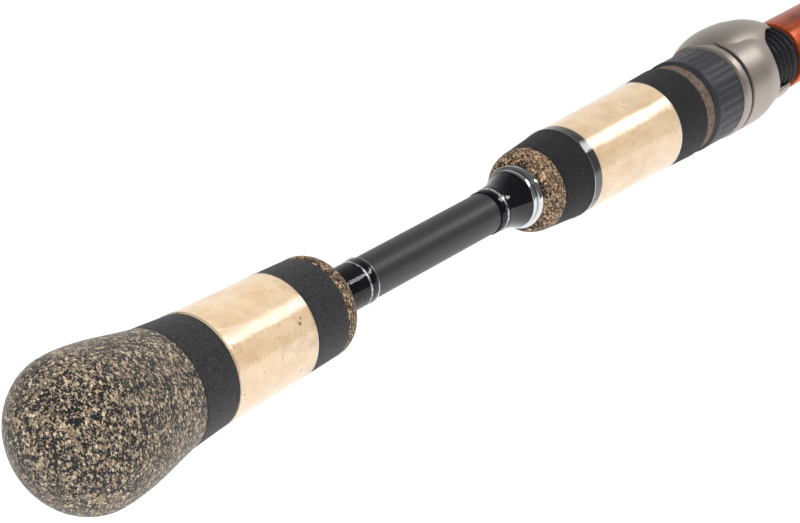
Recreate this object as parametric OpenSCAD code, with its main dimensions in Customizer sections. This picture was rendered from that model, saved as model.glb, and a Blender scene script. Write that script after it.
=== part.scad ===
// Ice fishing rod: split grip, screw-down reel seat, tapered blank and ringed guides.
// The rod lies along X with its tip at +X. The reel foot and the line guides are on the +Z side.
// The origin is on the rod's axis, midway between the ends of the two hoods.

/* [Rod] */
// Whole length from butt to tip ring
rod_length = 914; // [800:1:1220]
// Radius of the blank inside the handle and reel seat
blank_r = 4.3; // [4:0.05:4.6]
// Radius of the blank at its tip
tip_r = 0.95; // [0.8:0.05:1.3]

/* [Rear grip] */
// Length of the flared butt knob
knob_len = 37.5; // [34:0.5:44]
// Largest radius of the butt knob
knob_r = 17.8; // [16:0.1:19]
// Axial length of the knob's domed end
knob_dome = 14.8; // [10:0.1:16]
// Depth that the handle tube enters the knob
knob_socket = 26; // [20:0.5:28]
// Length of the foam ring next to the knob
butt_foam_len = 11.4; // [8:0.1:16]
// Length of the rear cork section
rear_cork_len = 27; // [20:0.1:40]
// Length of the foam ring in front of the rear cork
rear_foam_len = 11.3; // [8:0.1:16]
// Length of the rounded composite ring that ends the rear grip
rear_trim_len = 5.5; // [4.5:0.1:9]
// Rear grip radius at the knob
rear_knob_r = 14.4; // [13:0.1:15.5]
// Rear grip radius at the back of the cork
rear_cork_back_r = 13.5; // [12.5:0.1:14.5]
// Rear grip radius at the front of the cork
rear_cork_front_r = 12.8; // [12:0.1:14]
// Rear grip radius at the composite ring
rear_trim_r = 12.4; // [11.5:0.1:13.5]

/* [Handle tube] */
// Outer radius of the exposed handle tube
tube_r = 5.35; // [5.2:0.05:5.8]
// Wall of the handle tube, whose bore takes the tail of the blank
tube_wall = 1.05; // [0.8:0.05:1.2]
// Length of tube from the rear grip to the bright ring of the winding check
tube_gap = 73.3; // [60:0.1:110]
// Thickness of the thread wraps
wrap_t = 0.25; // [0.15:0.05:0.4]
// Thickness of the clear coat over the wraps
coat_t = 0.2; // [0.1:0.05:0.3]
// Width of the metallic thread bands
band_w = 1.2; // [0.6:0.1:1.5]
// Length of the wrap in front of the rear grip
rear_wrap_len = 13.8; // [9:0.1:20]
// Thread left in front of the rear wrap's metallic band
band_margin = 2; // [1.5:0.1:5]
// Length of the wrap behind the winding check
front_wrap_len = 3.4; // [3:0.1:8]

/* [Winding check] */
// Length of the flared black sleeve
flare_len = 7.5; // [5:0.1:12]
// Largest radius of the flared sleeve
flare_r = 7.3; // [6.8:0.1:7.6]
// Length of the bright ring
bright_len = 3.5; // [2.4:0.1:4]
// Outer radius of the bright ring
bright_r = 8.3; // [8:0.1:9]
// Depth of the step and of the groove in the bright ring
bright_step = 0.3; // [0.2:0.05:0.4]

/* [Fore grip] */
// Length of the rounded composite end
fore_end_len = 5.4; // [4:0.1:10]
// Length of the foam ring behind the fore cork
fore_foam_back_len = 14.9; // [10:0.1:20]
// Length of the fore cork section
fore_cork_len = 37; // [28:0.1:50]
// Length of the foam ring in front of the fore cork
fore_foam_front_len = 12.5; // [10:0.1:18]
// Length of the composite ring at the reel seat
seat_trim_len = 4.5; // [3:0.1:6]
// Fore grip radius where the composite end meets the foam
fore_end_r = 10.95; // [10:0.05:11.4]
// Fore grip radius where the clear film starts
fore_film_r = 11.9; // [11.5:0.1:12.2]
// Fore grip radius at the front of the cork
fore_cork_r = 12.5; // [12.2:0.1:13]
// Fore grip radius at the composite ring
fore_seat_r = 12.9; // [12.4:0.1:13.4]
// Radius of the composite ring at the reel seat
seat_trim_r = 12.3; // [11.6:0.1:12.4]

/* [Clear film] */
// Thickness of the clear sleeves over the cork
film_t = 0.15; // [0.1:0.05:0.3]
// Gap between the film and what it covers
film_gap = 0.03; // [0.02:0.01:0.05]
// Length of the fore film that lies on the foam ring
film_lap = 3.6; // [2:0.1:6]
// Cork left bare at the front end of each film
film_short = 0.4; // [0.2:0.1:2]

/* [Reel seat barrel] */
// Gap between the ends of the two hoods with the sliding hood wound back
foot_gap = 36; // [32:1:50]
// Crest radius of the screw thread
thread_r = 9.8; // [9.6:0.05:9.9]
// Depth of the screw thread
thread_depth = 0.8; // [0.7:0.05:0.9]
// Pitch of the screw thread
thread_pitch = 2.4; // [2.2:0.1:3]
// Thread left in front of the sliding hood
thread_show = 1.8; // [1.4:0.1:6]
// Outer radius of the coloured insert
insert_r = 9.95; // [9.8:0.05:10]
// Outer radius of the barrel under the insert and in the grip
core_r = 8.2; // [7.8:0.05:8.3]
// Bore radius of the barrel
barrel_bore = 6.2; // [5.9:0.05:6.6]
// Length of the barrel's tail inside the fore grip
tail_len = 11; // [8:0.5:13]
// Length of each arbor between blank and barrel
arbor_len = 14; // [8:0.5:20]
// Width of the hood's key
key_w = 2.2; // [1.8:0.1:3]

/* [Lock nut] */
// Length of the lock nut
nut_len = 14; // [11:0.1:18]
// Radius of the lock nut
nut_r = 13; // [12.6:0.1:13.1]
// Length of the plain rim at the back of the nut
nut_rim = 2.4; // [1.5:0.1:4]
// Number of grip flutes on the lock nut
flute_count = 30; // [20:1:36]
// Radius of a grip flute
flute_r = 1.2; // [0.9:0.05:1.2]
// Depth of a grip flute
flute_depth = 0.35; // [0.3:0.05:0.5]
// Length of the nut's neck inside the hood
neck_len = 3.4; // [3:0.1:4]

/* [Hoods] */
// Length of the sliding hood to the end of its cheeks
hood_len = 35; // [33:0.1:38]
// Length of the fixed front hood to the end of its cheeks
front_hood_len = 24; // [22:0.5:30]
// Radius of the hoods' rings
hood_r = 13.4; // [13.2:0.1:14]
// Height of the roof's highest point above the rod's axis
roof_z = 16.1; // [16:0.1:16.6]
// Radius of the roof's arch at its highest point
arch_r = 11.6; // [11.2:0.1:11.8]
// Thickness of the roof over a foot pocket
roof_wall = 1.6; // [1.5:0.05:1.65]
// Half width of a foot pocket
pocket_half = 4.4; // [4.3:0.1:4.8]
// Radius of the scallops in the sides of the sliding hood
scallop_r = 10.3; // [9.8:0.1:10.6]

/* [Front end of the handle] */
// Length of the composite cone in front of the reel seat
nose_len = 14; // [8:0.5:30]
// Radius of that cone at the reel seat
nose_r = 10.9; // [10.4:0.1:11.4]
// Radius of that cone at its front
nose_tip_r = 6.6; // [6:0.1:8]
// Length of the front winding check
nose_check_len = 3; // [2:0.1:5]

/* [Guides] */
// Spacing from the tip to the first guide
guide_step = 70; // [54:1:76]
// Extra spacing gained by each next guide
guide_growth = 5; // [2:0.5:6]
// Length of bare blank for which the spacing is given; it stretches with the blank
spacing_base = 544.3; // [500:0.1:600]
// Inner radius of the smallest guide ring
ring_first_r = 1.9; // [1.7:0.1:2.2]
// Ratio between one guide ring and the next larger one
ring_ratio = 1.33; // [1.2:0.01:1.36]
// Wall of the ceramic rings
ring_wall = 1; // [0.8:0.1:1.2]
// Thickness of the ceramic rings
ring_t = 1.6; // [1.4:0.1:2]
// Width of the broken edges of the ceramic rings
ring_edge = 0.3; // [0.2:0.05:0.35]
// Wall of the metal hoops round the ceramic rings
hoop_wall = 0.55; // [0.4:0.05:0.8]
// Thickness of the guide legs
leg_t = 0.9; // [0.7:0.05:1]
// Clear height from the blank to a hoop
hoop_lift = 4; // [3:0.1:6]
// Distance along the rod from a hoop to its foot
leg_reach = 7; // [5:0.1:10]
// Length of a guide's foot
foot_len = 12; // [9:0.5:16]
// Width of a guide's foot
foot_w = 2; // [1.8:0.1:2.4]
// Thickness of a guide's foot
foot_t = 0.8; // [0.6:0.05:1]
// Length of the thicker root of a guide's foot
root_len = 1.6; // [1.4:0.1:2]
// Thickness of that root
root_t = 1.5; // [1.3:0.05:1.7]
// Inner radius of the tip ring
tip_ring_r = 1.9; // [1.7:0.1:2.4]
// Length of the tip tube
tip_tube_len = 12; // [10:0.5:16]
// Wall of the tip tube
tip_tube_wall = 0.5; // [0.4:0.05:0.7]
// Length of the wrap behind the tip tube
tip_wrap_len = 6; // [4:0.5:12]

/* [Clearances] */
// Running clearance between pieces that move on each other
run = 0.3; // [0.25:0.05:0.35]

/* [Hidden] */
$fn = 64;
// Overshoot of a cut past the face it opens
cut = 1;

// Stations from the reel seat backwards
mouth_x = foot_gap / 2;
hood_rear = -mouth_x - hood_len;
nut_front = hood_rear - run;
nut_rear = hood_rear - nut_len;
seat_rear = nut_rear - run;
seat_trim_rear = seat_rear - seat_trim_len;
fore_foam_front_rear = seat_trim_rear - fore_foam_front_len;
fore_cork_rear = fore_foam_front_rear - fore_cork_len;
fore_foam_rear = fore_cork_rear - fore_foam_back_len;
fore_rear = fore_foam_rear - fore_end_len;
bright_rear = fore_rear - bright_len;
flare_rear = bright_rear - flare_len;
front_wrap_rear = flare_rear - front_wrap_len;
rear_front = bright_rear - tube_gap;
rear_trim_rear = rear_front - rear_trim_len;
rear_foam_rear = rear_trim_rear - rear_foam_len;
rear_cork_rear = rear_foam_rear - rear_cork_len;
knob_front = rear_cork_rear - butt_foam_len;
butt_x = knob_front - knob_len;
film_rear = fore_cork_rear - film_lap;
tail_rear = seat_rear - tail_len;
tube_rear = knob_front - knob_socket;

// Stations from the reel seat forwards
tip_cap = 1;
thread_front = -mouth_x + thread_show;
front_hood_front = mouth_x + front_hood_len;
nose_front = front_hood_front + nose_len;
check_front = nose_front + nose_check_len;
tip_end = butt_x + rod_length;
tip_tube_rear = tip_end - tip_tube_len;
blank_tip = tip_end - ring_t - tip_cap;

// Wraps on the handle tube
tube_bore = tube_r - tube_wall;
wrap_r = tube_r + wrap_t;
coat_r = wrap_r + coat_t;
rear_wrap_front = rear_front + rear_wrap_len;
rear_band_front = rear_wrap_front - band_margin;
rear_band_rear = rear_band_front - band_w;
front_band_rear = flare_rear - band_w;

// Screw thread: a ridge with a narrow crest and flanks that widen towards its root
root_r = thread_r - thread_depth;
crest_half = 0.15;
flank_slope = 0.61;
ridge_bury = 0.2;
turn_steps = 24;
thread_start = seat_rear + thread_pitch / 2;
nut_bore = thread_r + run;
nut_tooth = thread_depth - run;

// Inside of the sliding hood, from its closed end: neck space, snap ring groove, bush, running bore
hood_bore = insert_r + run;
bush_wall = 1.2;
neck_bore = nut_bore + bush_wall;
neck_r = neck_bore - run;
snap_inset = 1.2;
snap_rear = hood_rear + snap_inset;
snap_w = 1;
snap_wall = 0.7;
bush_rear = hood_rear + neck_len + run;
bush_len = 4.5;
bush_front = bush_rear + bush_len;
key_r = root_r - run;
slot_r = key_r - run;
slot_w = key_w + 2 * run;

// Outside of the hoods, from their closed end; the shares are of a hood's length
lip_len = 3.2;
groove_w = 1.3;
groove_depth = 0.6;
groove_stop = 9.2;
edge_break = 0.5;
skirt_wall = 0.65;
shoulder_share = 0.37;
skirt_share = 0.8;
chin_share = 0.88;

// Roof of the hoods: an arch about an axis above the rod's axis, highest at its peak
arch_z = roof_z - arch_r;
arch_start = 0.3;
arch_rise = 2.3;
arch_fall = 4.6;
fall_power = 2.4;
peak_share = 0.343;
pocket_share = 0.42;
mouth_share = 0.57;
scallop_x = 5;
scallop_z = -3;
chin_half = 5;

guide_spread = (blank_tip - nose_front) / spacing_base;
tip_hoop_r = tip_ring_r + ring_wall + hoop_wall;
blank_room = 0.2;
tip_tube_r = tip_tube_wall + tip_r + blank_room;
tip_arm = tip_hoop_r - hoop_wall / 2;
tip_z = tip_hoop_r;
tip_ring_x = tip_end - ring_t / 2;

// Radius of the blank at a station in front of the handle
function blank_at(x) = blank_r + (tip_r - blank_r) * (x - nose_front) / (blank_tip - nose_front);

// Radius of the rear cork at a station
function rear_at(x) =
    rear_cork_back_r + (rear_cork_front_r - rear_cork_back_r) * (x - rear_cork_rear) / rear_cork_len;

// Radius of the fore grip at a station between the film's rear edge and the front of the cork
function fore_at(x) =
    fore_film_r + (fore_cork_r - fore_film_r) * (x - film_rear) / (fore_foam_front_rear - film_rear);

// Guide values, counted from the tip
function guide_x(i) = blank_tip - guide_spread * (guide_step * i + guide_growth * i * i);
function ring_r(i) = ring_first_r * pow(ring_ratio, i - 1);
function hoop_r(i) = ring_r(i) + ring_wall + hoop_wall;
function guide_z(i) = blank_at(guide_x(i)) + hoop_lift + hoop_r(i);
function foot_x(i) = guide_x(i) + leg_reach;

// Turns an outline of [radius, station] points about the rod's axis
module turned(outline) {
    rotate([0, 90, 0])
        rotate_extrude()
            polygon(outline);
}

// A sleeve between two stations, with its outer and inner radius at each
module sleeve(x0, x1, outer0, outer1, inner0, inner1) {
    turned([[inner0, x0], [outer0, x0], [outer1, x1], [inner1, x1]]);
}

// A solid taper between two stations
module taper(x0, x1, r0, r1) {
    translate([x0, 0, 0])
        rotate([0, 90, 0])
            cylinder(h = x1 - x0, r1 = r0, r2 = r1);
}

// A flat strip between two points
module leg(from, to) {
    span = to - from;
    length = norm(span);
    translate(from)
        rotate([0, acos(span.z / length), atan2(span.y, span.x)])
            translate([-leg_t / 2, -leg_t / 2, 0])
                cube([leg_t, leg_t, length]);
}

// A right-hand helical ridge about X, with its radius and half width at its base and at its crest
module helix_ridge(x0, x1, base_r, base_half, top_r, top_half) {
    steps = floor((x1 - x0) / thread_pitch * turn_steps);
    section = [[base_r, -base_half], [top_r, -top_half], [top_r, top_half], [base_r, base_half]];
    outward = base_r < top_r;
    points = [
        for (s = [0:steps])
            for (p = section)
                let (turn = s * 360 / turn_steps)
                    [x0 + s * thread_pitch / turn_steps + p[1], -p[0] * sin(turn), p[0] * cos(turn)]
    ];
    sides = [
        for (s = [0:steps - 1])
            for (k = [0:3])
                let (a = 4 * s + k, b = 4 * s + (k + 1) % 4)
                    each outward ? [[a, b, b + 4], [a, b + 4, a + 4]] : [[b, a, a + 4], [b, a + 4, b + 4]]
    ];
    near = [0, 1, 2, 3];
    far = [for (k = near) 4 * steps + k];
    ends = outward ? [[for (k = near) 3 - k], far] : [near, [for (k = near) far[3 - k]]];
    polyhedron(points, concat(sides, ends));
}

// Composite knob: a domed end, a full shoulder and a waist that eases into the foam ring
module butt_knob() {
    shoulder_x = butt_x + knob_dome;
    dome = [for (a = [0:5:85]) [knob_r * sin(a), shoulder_x - knob_dome * cos(a)]];
    ease = 130;
    waist = [
        for (s = [0:0.1:1])
            [knob_r + (rear_knob_r - knob_r) * (1 - cos(s * ease)) / (1 - cos(ease)),
             shoulder_x + (knob_front - shoulder_x) * s]
    ];
    socket = [[tube_r, knob_front], [tube_r, tube_rear], [0, tube_rear]];
    color("#5b5347")
        turned(concat(dome, waist, socket));
}

module butt_foam_ring() {
    color("#2b2b2c")
        sleeve(knob_front, rear_cork_rear, rear_knob_r, rear_cork_back_r, tube_r, tube_r);
}

module rear_cork() {
    color("#e6c595")
        sleeve(rear_cork_rear, rear_foam_rear, rear_cork_back_r, rear_cork_front_r, tube_r, tube_r);
}

module rear_cork_film() {
    front = rear_foam_rear - film_short;
    color("#f4efe8", 0.3)
        sleeve(rear_cork_rear, front, rear_cork_back_r + film_t, rear_at(front) + film_t,
            rear_cork_back_r + film_gap, rear_at(front) + film_gap);
}

module rear_foam_ring() {
    color("#2b2b2c")
        sleeve(rear_foam_rear, rear_trim_rear, rear_cork_front_r, rear_trim_r, tube_r, tube_r);
}

// Composite ring with a full round on its front edge
module rear_trim_ring() {
    round = rear_trim_len * 0.8;
    corner = [
        for (a = [0:10:90])
            [rear_trim_r - round + round * cos(a), rear_front - round + round * sin(a)]
    ];
    back = [[tube_r, rear_trim_rear], [rear_trim_r, rear_trim_rear]];
    color("#6b5a45")
        turned(concat(back, corner, [[tube_r, rear_front]]));
}

// Graphite tube from the knob to the reel seat's tail
module handle_tube() {
    color("#3a3a3c")
        sleeve(tube_rear, tail_rear, tube_r, tube_r, tube_bore, tube_bore);
}

// Black thread on both sides of the metallic band
module rear_wrap_thread() {
    color("#0c0c0e") {
        sleeve(rear_front, rear_band_rear, wrap_r, wrap_r, tube_r, tube_r);
        sleeve(rear_band_front, rear_wrap_front, wrap_r, wrap_r, tube_r, tube_r);
    }
}

module rear_wrap_band() {
    color("#c9cad2")
        sleeve(rear_band_rear, rear_band_front, wrap_r, wrap_r, tube_r, tube_r);
}

module rear_wrap_coat() {
    color("#e8e8ee", 0.3)
        turned([
            [wrap_r, rear_front],
            [coat_r, rear_front],
            [coat_r, rear_wrap_front - coat_t],
            [wrap_r, rear_wrap_front]
        ]);
}

module front_wrap_thread() {
    color("#0c0c0e")
        sleeve(front_wrap_rear, front_band_rear, wrap_r, wrap_r, tube_r, tube_r);
}

module front_wrap_band() {
    color("#c9cad2")
        sleeve(front_band_rear, flare_rear, wrap_r, wrap_r, tube_r, tube_r);
}

module front_wrap_coat() {
    color("#e8e8ee", 0.3)
        turned([
            [wrap_r, front_wrap_rear],
            [coat_r, front_wrap_rear + coat_t],
            [coat_r, flare_rear],
            [wrap_r, flare_rear]
        ]);
}

// Black sleeve that flares like a trumpet up to the bright ring
module winding_check_flare() {
    ease = 75;
    bell = [
        for (s = [0:0.1:1])
            [coat_r + (flare_r - coat_r) * (1 - cos(s * ease)) / (1 - cos(ease)), flare_rear + flare_len * s]
    ];
    color("#101014")
        turned(concat([[tube_r, flare_rear]], bell, [[tube_r, bright_rear]]));
}

// Bright ring with a narrow step, a groove and a wide lip against the grip
module winding_check_ring() {
    step_front = bright_rear + bright_len * 0.3;
    groove_front = bright_rear + bright_len * 0.45;
    step_r = flare_r + bright_step;
    groove_r = flare_r - bright_step;
    color("#d5d8da")
        turned([
            [tube_r, bright_rear],
            [step_r, bright_rear],
            [step_r, step_front],
            [groove_r, step_front],
            [groove_r, groove_front],
            [bright_r - bright_step, groove_front],
            [bright_r, groove_front + bright_step],
            [bright_r, fore_rear],
            [tube_r, fore_rear]
        ]);
}

// Rounded composite end of the fore grip
module fore_end_ring() {
    rim_r = bright_r + bright_step;
    round = [
        for (a = [0:10:90])
            [rim_r + (fore_end_r - rim_r) * sin(a), fore_foam_rear - fore_end_len * cos(a)]
    ];
    color("#6b5a45")
        turned(concat([[tube_r, fore_rear]], round, [[tube_r, fore_foam_rear]]));
}

module fore_foam_rear_ring() {
    color("#2b2b2c")
        turned([
            [tube_r, fore_foam_rear],
            [fore_end_r, fore_foam_rear],
            [fore_film_r, film_rear],
            [fore_at(fore_cork_rear), fore_cork_rear],
            [tube_r, fore_cork_rear]
        ]);
}

module fore_cork() {
    color("#e6c595")
        sleeve(fore_cork_rear, fore_foam_front_rear, fore_at(fore_cork_rear), fore_cork_r, tube_r, tube_r);
}

module fore_cork_film() {
    front = fore_foam_front_rear - film_short;
    color("#f4efe8", 0.3)
        sleeve(film_rear, front, fore_film_r + film_t, fore_at(front) + film_t,
            fore_film_r + film_gap, fore_at(front) + film_gap);
}

// Foam ring, bored in a step for the tube and for the barrel's tail
module fore_foam_front_ring() {
    color("#2b2b2c")
        turned([
            [tube_r, fore_foam_front_rear],
            [fore_cork_r, fore_foam_front_rear],
            [fore_seat_r, seat_trim_rear],
            [core_r, seat_trim_rear],
            [core_r, tail_rear],
            [tube_r, tail_rear]
        ]);
}

module seat_trim_ring() {
    color("#8a725a")
        sleeve(seat_trim_rear, seat_rear, seat_trim_r, seat_trim_r, core_r, core_r);
}

// Moulded barrel: a tail in the grip, a keyed screw thread, and a core under the insert
module seat_barrel() {
    color("#1d1e20")
        difference() {
            union() {
                turned([
                    [barrel_bore, tail_rear],
                    [core_r, tail_rear],
                    [core_r, seat_rear],
                    [root_r, seat_rear],
                    [root_r, thread_front],
                    [core_r, thread_front],
                    [core_r, front_hood_front],
                    [barrel_bore, front_hood_front]
                ]);
                helix_ridge(thread_start, thread_front - thread_pitch / 2,
                    root_r - ridge_bury, crest_half + flank_slope * (thread_depth + ridge_bury),
                    thread_r, crest_half);
            }
            translate([seat_rear - cut / 2, -slot_w / 2, -thread_r - cut])
                cube([thread_front - seat_rear + cut, slot_w, thread_r + cut - slot_r]);
        }
}

// Coloured sleeve under the reel foot
module seat_insert() {
    color("#a4522c")
        sleeve(thread_front, front_hood_front, insert_r, insert_r, core_r, core_r);
}

module seat_arbors() {
    last = front_hood_front - arbor_len;
    color("#b9b4a8")
        for (x = [tail_rear, (tail_rear + last) / 2, last])
            sleeve(x, x + arbor_len, barrel_bore, barrel_bore, blank_r, blank_r);
}

// Fluted nut with an inner screw thread and a neck that turns inside the hood
module lock_nut() {
    chamfer = 0.6;
    flute_start = nut_rear + nut_rim;
    tooth_start = thread_start + 1.5 * thread_pitch;
    color("#26272b") {
        difference() {
            turned([
                [nut_bore, nut_rear],
                [nut_r - 2 * chamfer, nut_rear],
                [nut_r, nut_rear + 2 * chamfer],
                [nut_r, nut_front - chamfer / 2],
                [nut_r - chamfer / 2, nut_front],
                [neck_r, nut_front],
                [neck_r, hood_rear + neck_len],
                [nut_bore, hood_rear + neck_len]
            ]);
            for (k = [0:flute_count - 1])
                rotate([k * 360 / flute_count, 0, 0])
                    translate([flute_start, 0, nut_r + flute_r - flute_depth])
                        rotate([0, 90, 0])
                            cylinder(h = nut_len, r = flute_r);
        }
        helix_ridge(tooth_start, hood_rear + neck_len - thread_pitch,
            nut_bore + ridge_bury, crest_half + flank_slope * (nut_tooth + run + ridge_bury),
            thread_r - nut_tooth, crest_half);
    }
}

module nut_snap_ring() {
    color("#b8bcc0")
        sleeve(snap_rear, snap_rear + snap_w, neck_r + snap_wall, neck_r + snap_wall, neck_r, neck_r);
}

// Roof over a reel foot, along +X from a hood's closed end: it rises to its peak and then falls
// towards the barrel
module foot_roof(length) {
    peak = length * peak_share;
    rise = [
        for (s = [0:0.125:1])
            [arch_r - arch_rise * pow(1 - s, 2), arch_start + (peak - arch_start) * s]
    ];
    fall = [
        for (s = [0.1:0.1:1])
            [arch_r - arch_fall * pow(s, fall_power), peak + (length - peak) * s]
    ];
    translate([0, 0, arch_z])
        turned(concat([[0, arch_start]], rise, fall, [[0, length]]));
}

// Pocket under the roof, and the mouth in front of it that is open upwards between two cheeks
module foot_pocket(length) {
    translate([length * pocket_share, -pocket_half, 0])
        cube([length, 2 * pocket_half, roof_z - roof_wall]);
    translate([length * mouth_share, -pocket_half, 0])
        cube([length, 2 * pocket_half, roof_z + cut]);
}

// Ring of a hood along +X from its closed end: straight, eased down, then close round the barrel
module hood_ring(length, inner) {
    shoulder = length * shoulder_share;
    skirt_end = length * skirt_share;
    chin_end = length * chin_share;
    skirt_r = inner + skirt_wall;
    skirt = [
        for (s = [0:0.1:1])
            [skirt_r + (hood_r - skirt_r) * (1 + cos(180 * s)) / 2, shoulder + (skirt_end - shoulder) * s]
    ];
    back = [[inner, 0], [hood_r - edge_break, 0], [hood_r, edge_break]];
    turned(concat(back, skirt, [[skirt_r, chin_end], [inner, chin_end]]));
}

// Sliding hood: a lip and a groove round its back, scalloped sides, and a stepped bore for nut,
// snap ring and bush
module sliding_hood() {
    groove_rear = hood_rear + lip_len;
    color("#9a948c")
        difference() {
            translate([hood_rear, 0, 0])
                union() {
                    hood_ring(hood_len, hood_bore);
                    foot_roof(hood_len);
                }
            taper(hood_rear - cut, bush_front, neck_bore, neck_bore);
            taper(hood_rear, cut - mouth_x, hood_bore, hood_bore);
            taper(snap_rear - run, snap_rear + snap_w + run, neck_bore + snap_wall, neck_bore + snap_wall);
            difference() {
                sleeve(groove_rear, groove_rear + groove_w, hood_r + cut, hood_r + cut,
                    hood_r - groove_depth, hood_r - groove_depth);
                translate([hood_rear, -groove_stop, 0])
                    cube([hood_len, 2 * groove_stop, roof_z]);
            }
            translate([hood_rear, 0, 0])
                foot_pocket(hood_len);
            for (side = [-1, 1])
                translate([-mouth_x - scallop_x, side * (chin_half + hood_r), scallop_z])
                    rotate([90, 0, 0])
                        cylinder(h = 2 * hood_r, r = scallop_r, center = true);
        }
}

// Plastic bush inside the sliding hood, with the key that stops the hood turning
module hood_bush() {
    color("#2e2f33") {
        sleeve(bush_rear, bush_front, neck_bore, neck_bore, nut_bore, nut_bore);
        translate([bush_rear, -key_w / 2, -nut_bore - bush_wall / 2])
            cube([bush_len, key_w, nut_bore + bush_wall / 2 - key_r]);
    }
}

// Fixed hood that takes the front end of the reel foot
module front_hood() {
    color("#9a948c")
        translate([front_hood_front, 0, 0])
            mirror([1, 0, 0])
                difference() {
                    union() {
                        hood_ring(front_hood_len, insert_r);
                        foot_roof(front_hood_len);
                    }
                    taper(-cut, front_hood_len + cut, insert_r, insert_r);
                    foot_pocket(front_hood_len);
                }
}

// Composite cone that ends the handle
module nose_cone() {
    rim = 2;
    color("#6b5a45")
        turned([
            [blank_r, front_hood_front],
            [nose_r, front_hood_front],
            [nose_r, front_hood_front + rim],
            [nose_tip_r, nose_front],
            [blank_r, nose_front]
        ]);
}

module nose_check() {
    rim = nose_check_len * 0.4;
    color("#d5d8da")
        difference() {
            turned([
                [0, nose_front],
                [nose_tip_r, nose_front],
                [nose_tip_r, nose_front + rim],
                [blank_r + wrap_t, check_front],
                [0, check_front]
            ]);
            tapered_blank();
        }
}

// The blank in front of the handle
module tapered_blank() {
    taper(nose_front, blank_tip, blank_r, tip_r);
}

// Graphite blank, from inside the handle tube to the tip
module blank() {
    color("#3a3a3c") {
        taper(fore_rear, tail_rear, tube_bore, tube_bore);
        taper(tail_rear, nose_front, blank_r, blank_r);
        tapered_blank();
    }
}

// Thread over a foot of width w and height h that lies on the blank between two stations
module foot_wrap(x0, x1, w, h) {
    difference() {
        hull() {
            taper(x0, x1, blank_at(x0) + wrap_t, blank_at(x1) + wrap_t);
            translate([x0, -w / 2 - wrap_t, 0])
                cube([x1 - x0, w + 2 * wrap_t, blank_at(x0) + h + wrap_t]);
        }
        tapered_blank();
    }
}

// Foot of a line guide: a flat bar on top of the blank, with a thicker root where the legs meet
module guide_foot(i) {
    translate([foot_x(i), -foot_w / 2, blank_at(foot_x(i))]) {
        cube([foot_len, foot_w, foot_t]);
        cube([root_len, foot_w, root_t]);
    }
}

// Hoop, two legs and a foot
module guide_frame(i) {
    spread = 50;
    arm = hoop_r(i) - hoop_wall / 2;
    toe_x = foot_x(i) + root_len / 2;
    toe_y = (foot_w - leg_t) / 2;
    toe_z = blank_at(foot_x(i)) + root_t / 2;
    color("#b8bcc0")
        difference() {
            union() {
                translate([guide_x(i) - ring_t / 2, 0, guide_z(i)])
                    rotate([0, 90, 0])
                        cylinder(h = ring_t, r = hoop_r(i));
                for (side = [-1, 1])
                    leg([guide_x(i), side * arm * sin(spread), guide_z(i) - arm * cos(spread)],
                        [toe_x, side * toe_y, toe_z]);
                guide_foot(i);
            }
            translate([guide_x(i) - leg_reach, 0, guide_z(i)])
                rotate([0, 90, 0])
                    cylinder(h = 2 * leg_reach, r = ring_r(i) + ring_wall);
        }
}

// Ceramic ring with a straight bore and broken edges
module line_ring(x, z, inner) {
    back = x - ring_t / 2;
    front = x + ring_t / 2;
    outer = inner + ring_wall;
    translate([0, 0, z])
        turned([
            [inner + ring_edge, back],
            [outer, back],
            [outer, front],
            [inner + ring_edge, front],
            [inner, front - ring_edge],
            [inner, back + ring_edge]
        ]);
}

module guide_ring(i) {
    color("#2a2c31")
        line_ring(guide_x(i), guide_z(i), ring_r(i));
}

module guide_wrap(i) {
    start = foot_x(i) + root_len + wrap_t;
    color("#0c0c0e")
        difference() {
            foot_wrap(start, foot_x(i) + foot_len + foot_w, foot_w, foot_t);
            guide_foot(i);
        }
}

// Tip tube with a hoop brazed on its end and two braces
module tip_frame() {
    spread = 75;
    color("#b8bcc0")
        difference() {
            union() {
                taper(tip_tube_rear, tip_end, tip_tube_r, tip_tube_r);
                translate([tip_end - ring_t, 0, tip_z])
                    rotate([0, 90, 0])
                        cylinder(h = ring_t, r = tip_hoop_r);
                for (side = [-1, 1])
                    leg([tip_ring_x, side * tip_arm * sin(spread), tip_z - tip_arm * cos(spread)],
                        [tip_tube_rear + tip_tube_len / 4, side * tip_tube_r / 2, tip_tube_r / 2]);
            }
            tapered_blank();
            translate([tip_end - ring_t - cut, 0, tip_z])
                rotate([0, 90, 0])
                    cylinder(h = ring_t + 2 * cut, r = tip_ring_r + ring_wall);
        }
}

module tip_ring() {
    color("#2a2c31")
        line_ring(tip_ring_x, tip_z, tip_ring_r);
}

module tip_wrap() {
    back = tip_tube_rear - tip_wrap_len;
    color("#0c0c0e")
        difference() {
            taper(back, tip_tube_rear, blank_at(back) + wrap_t, blank_at(tip_tube_rear) + wrap_t);
            tapered_blank();
        }
}

butt_knob();
butt_foam_ring();
rear_cork();
rear_cork_film();
rear_foam_ring();
rear_trim_ring();
handle_tube();
rear_wrap_thread();
rear_wrap_band();
rear_wrap_coat();
front_wrap_thread();
front_wrap_band();
front_wrap_coat();
winding_check_flare();
winding_check_ring();
fore_end_ring();
fore_foam_rear_ring();
fore_cork();
fore_cork_film();
fore_foam_front_ring();
seat_trim_ring();
seat_barrel();
seat_insert();
seat_arbors();
lock_nut();
nut_snap_ring();
sliding_hood();
hood_bush();
front_hood();
nose_cone();
nose_check();
blank();
guide_frame(1);  // guide_frame_1
guide_frame(2);  // guide_frame_2
guide_frame(3);  // guide_frame_3
guide_frame(4);  // guide_frame_4
guide_frame(5);  // guide_frame_5
guide_ring(1);  // guide_ring_1
guide_ring(2);  // guide_ring_2
guide_ring(3);  // guide_ring_3
guide_ring(4);  // guide_ring_4
guide_ring(5);  // guide_ring_5
guide_wrap(1);  // guide_wrap_1
guide_wrap(2);  // guide_wrap_2
guide_wrap(3);  // guide_wrap_3
guide_wrap(4);  // guide_wrap_4
guide_wrap(5);  // guide_wrap_5
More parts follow.
